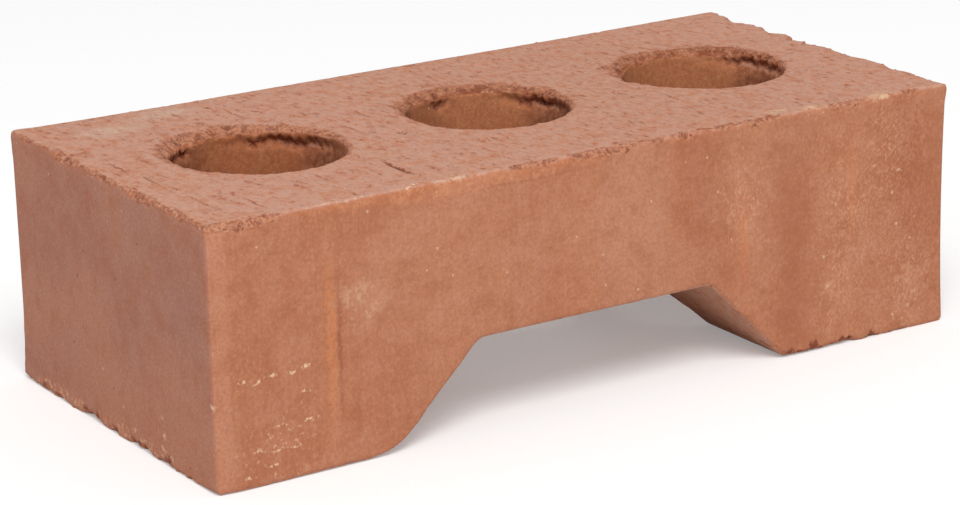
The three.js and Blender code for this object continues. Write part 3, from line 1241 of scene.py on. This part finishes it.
    def add_patterns(self, tree: bpy.types.NodeTree, made: Made) -> None:
        """Adds a mask for each pick of a grain, speck, group of spots and mark.

        Args:
            tree: The material's tree.
            made: Where a point lies in millimetres ("place"). The masks join it.
        """
        for number, (name, grain) in enumerate(self.grains.items()):
            scale, apart = tuple(1 / s for s in grain.size), (7.3 * number,) * 3
            add_steps(tree, made, (
                ("scaled", "vector MULTIPLY_ADD", "place", scale, apart),
                (name, "noise 3D", "scaled", 1.0, grain.detail, 0.6),
            ))
        add_steps(tree, made, (
            # The outlines of marks wander with the clay's own grain.
            ("grain", "ShaderNodeCombineXYZ", "crumbs", "drag", "mottle"),
            ("wander", "vector SUBTRACT", "grain", (0.5, 0.5, 0.5)),
            *((name, "range SMOOTHSTEP", pick.grain, pick.low, pick.high)
              for name, pick in self.picks.items()),
        ))
        for name, speck in self.specks.items():
            size = speck.radius / speck.spacing
            add_steps(tree, made, (
                ("cells", "cells F1", "place", 1 / speck.spacing),
                ("blurred", "math MULTIPLY_ADD", "sand", size, "cells.Distance"),
                ("dot", "range SMOOTHSTEP", "blurred", size * 1.5, size),
                ("there", "math LESS_THAN", "cells.Color", speck.share),
                (name, "math MULTIPLY", "dot", "there"),
            ))
        for name, group in self.spots.items():
            add_steps(tree, made, (
                ("astray", "vector MULTIPLY_ADD", "wander", (group.stray * 4,) * 3, "place"),
            ))
            scale = tuple(1 / s for s in group.half)
            for number, middle in enumerate(group.places):
                back = tuple(-m / s for m, s in zip(middle, group.half))
                add_steps(tree, made, (
                    ("away", "vector MULTIPLY_ADD", "astray", scale, back),
                    ("far", "vector LENGTH", "away"),
                ))
                if number:
                    add_steps(tree, made, (("far", "math MINIMUM", "nearest", "far"),))
                made["nearest"] = made["far"]
            add_steps(tree, made, ((name, "range SMOOTHSTEP", "nearest", 1.0, 1.0 - group.soft),))
        for mark in (Mark.TORN, Mark.PIT):
            read = add_node(tree, "ShaderNodeAttribute", attribute_name=mark.value)
            made[mark.value] = read.outputs["Fac"]
        add_steps(tree, made, (
            # The brink is where whole clay turns into torn clay; the finish paints a shadow line along
            # it.
            ("whole", "math SUBTRACT", 1.0, "torn"),
            ("both", "math MULTIPLY", "whole", "torn"),
            ("brink", "range SMOOTHSTEP", "both", 0.08, 0.2),
        ))

    @staticmethod
    def hold(tree: bpy.types.NodeTree, made: Made, amount: float, masks: str) -> Any:
        """Holds an amount back to where its masks allow it.

        Args:
            tree: The material's tree.
            made: The masks by name.
            amount: The whole amount.
            masks: The names of its masks in a row.

        Returns:
            What is left of the amount at each point.
        """
        for name in masks.split():
            amount = add_node(tree, "math MULTIPLY", (made[name], amount))
        return amount

    def build(self) -> bpy.types.Material:
        """Builds the material.

        Returns:
            The material.
        """
        material = bpy.data.materials.new("fired_clay")
        material.use_nodes = True
        tree = material.node_tree
        source = add_node(tree, "ShaderNodeTexCoord")
        place = add_node(tree, "vector SCALE", (source.outputs["Object"], 1 / MM))
        made = {"place": place, "facing": source.outputs["Normal"]}
        self.add_faces(tree, made)
        self.add_patterns(tree, made)

        colour = linear(self.long_face)
        for tint in self.tints:
            share = self.hold(tree, made, tint.strength, tint.masks)
            colour = add_node(
                tree, "ShaderNodeMix",
                {"Factor": share, "A": colour, "B": linear(tint.colour)}, data_type="RGBA",
            )
        height = 0.0
        for dent in self.dents:
            depth = self.hold(tree, made, dent.height, dent.masks)
            height = add_node(tree, "math ADD", (depth, height))
        feed(tree.nodes["Principled BSDF"], {
            "Base Color": colour,
            "Normal": add_node(tree, "ShaderNodeBump", {"Height": height, "Distance": MM}),
            "Roughness": self.roughness,
            "Specular IOR Level": self.gloss,
        })
        return material


@dataclass(frozen=True)
class StudioPaper:
    """Seamless white paper: it takes the shadow, and the eye sees it as plain white."""

    colour: str = "#e8e8e8"
    lift: float = 0.25

    def build(self) -> bpy.types.Material:
        """Builds the material.

        Returns:
            The material.
        """
        material = bpy.data.materials.new("studio_paper")
        material.use_nodes = True
        tree = material.node_tree
        path = add_node(tree, "ShaderNodeLightPath")
        glow = add_node(tree, "math MULTIPLY", (path.outputs["Is Camera Ray"], self.lift))
        feed(tree.nodes["Principled BSDF"], {
            "Base Color": linear(self.colour), "Roughness": 1.0, "Specular IOR Level": 0.0,
            "Emission Color": WHITE, "Emission Strength": glow,
        })
        return material


# ------------------------------------------------------------ the studio and view


@dataclass(frozen=True)
class SoftBox:
    """A large square lamp, in metres and watts."""

    name: str
    place: tuple[float, float, float]
    side: float
    watts: float

    def build(self, target: Vector) -> None:
        """Adds the lamp, facing the target.

        Args:
            target: What the lamp faces.
        """
        lamp = bpy.data.lights.new(self.name, "AREA")
        lamp.shape = "SQUARE"
        lamp.size = self.side
        lamp.energy = self.watts
        holder = new_object(self.name, lamp)
        holder.location = self.place
        holder.rotation_euler = (target - Vector(self.place)).to_track_quat("-Z", "Y").to_euler()


@dataclass(frozen=True)
class Studio:
    """A white floor under plain soft light, in metres."""

    floor_side: float = 12.0
    sky: float = 0.5
    key: SoftBox = SoftBox("key_softbox", (-0.75, -1.45, 2.1), 1.2, 46.0)

    def build(self, target: Vector) -> bpy.types.Object:
        """Adds the floor, the sky and the lamp.

        Args:
            target: What the lamp faces.

        Returns:
            The floor.
        """
        half = self.floor_side / 2
        mesh = bpy.data.meshes.new("studio_floor")
        mesh.from_pydata(
            [(-half, -half, 0.0), (half, -half, 0.0), (half, half, 0.0), (-half, half, 0.0)],
            [], [(0, 1, 2, 3)],
        )
        floor = new_object("studio_floor", mesh)
        floor.data.materials.append(StudioPaper().build())

        world = bpy.data.worlds.new("studio_sky")
        world.use_nodes = True
        bpy.context.scene.world = world
        path = add_node(world.node_tree, "ShaderNodeLightPath")
        seen = add_node(world.node_tree, "math MAXIMUM", (path.outputs["Is Camera Ray"], self.sky))
        feed(world.node_tree.nodes["Background"], {"Color": WHITE, "Strength": seen})
        self.key.build(target)
        return floor


@dataclass(frozen=True)
class Viewpoint:
    """A long lens that looks down on the brick's front left corner, in millimetres."""

    place: tuple[float, float, float] = (-393.4, -619.0, 252.7)
    aim: tuple[float, float, float] = (-2.6, -0.2, 24.0)
    roll: float = -1.41  # degrees
    lens: float = 124.8
    sensor: float = 36.0
    nearest: float = 10.0
    farthest: float = 100_000.0

    def build(self) -> None:
        """Adds the camera and makes it the scene's own."""
        camera = bpy.data.cameras.new("view")
        camera.lens = self.lens
        camera.sensor_width = self.sensor
        camera.clip_start = self.nearest * MM
        camera.clip_end = self.farthest * MM
        holder = new_object("view", camera)
        place = Vector(self.place) * MM
        level = (Vector(self.aim) * MM - place).to_track_quat("-Z", "Y").to_matrix().to_4x4()
        roll = Matrix.Rotation(math.radians(self.roll), 4, "Z")
        holder.matrix_world = Matrix.Translation(place) @ level @ roll
        bpy.context.scene.camera = holder


def main() -> None:
    """Builds the view, the studio and the brick, and reports each piece."""
    logging.basicConfig(level=logging.INFO, format="%(name)s: %(message)s")
    bpy.context.scene.view_settings.view_transform = "Standard"

    Viewpoint().build()
    outline = BrickOutline.from_frame(CLAY_NODE)
    floor = Studio().build(Vector((0.0, 0.0, outline.height / 2 * MM)))
    LOG.info("studio ready; core radius %.2f mm", outline.core_radius)

    body = ClayBody(outline).build(FiredClay(outline).build())
    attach(body, "root")
    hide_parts(CLAY_NODE)
    LOG.info("%s: %d triangles", body.name, len(body.data.polygons))


if __name__ == "__main__":
    main()
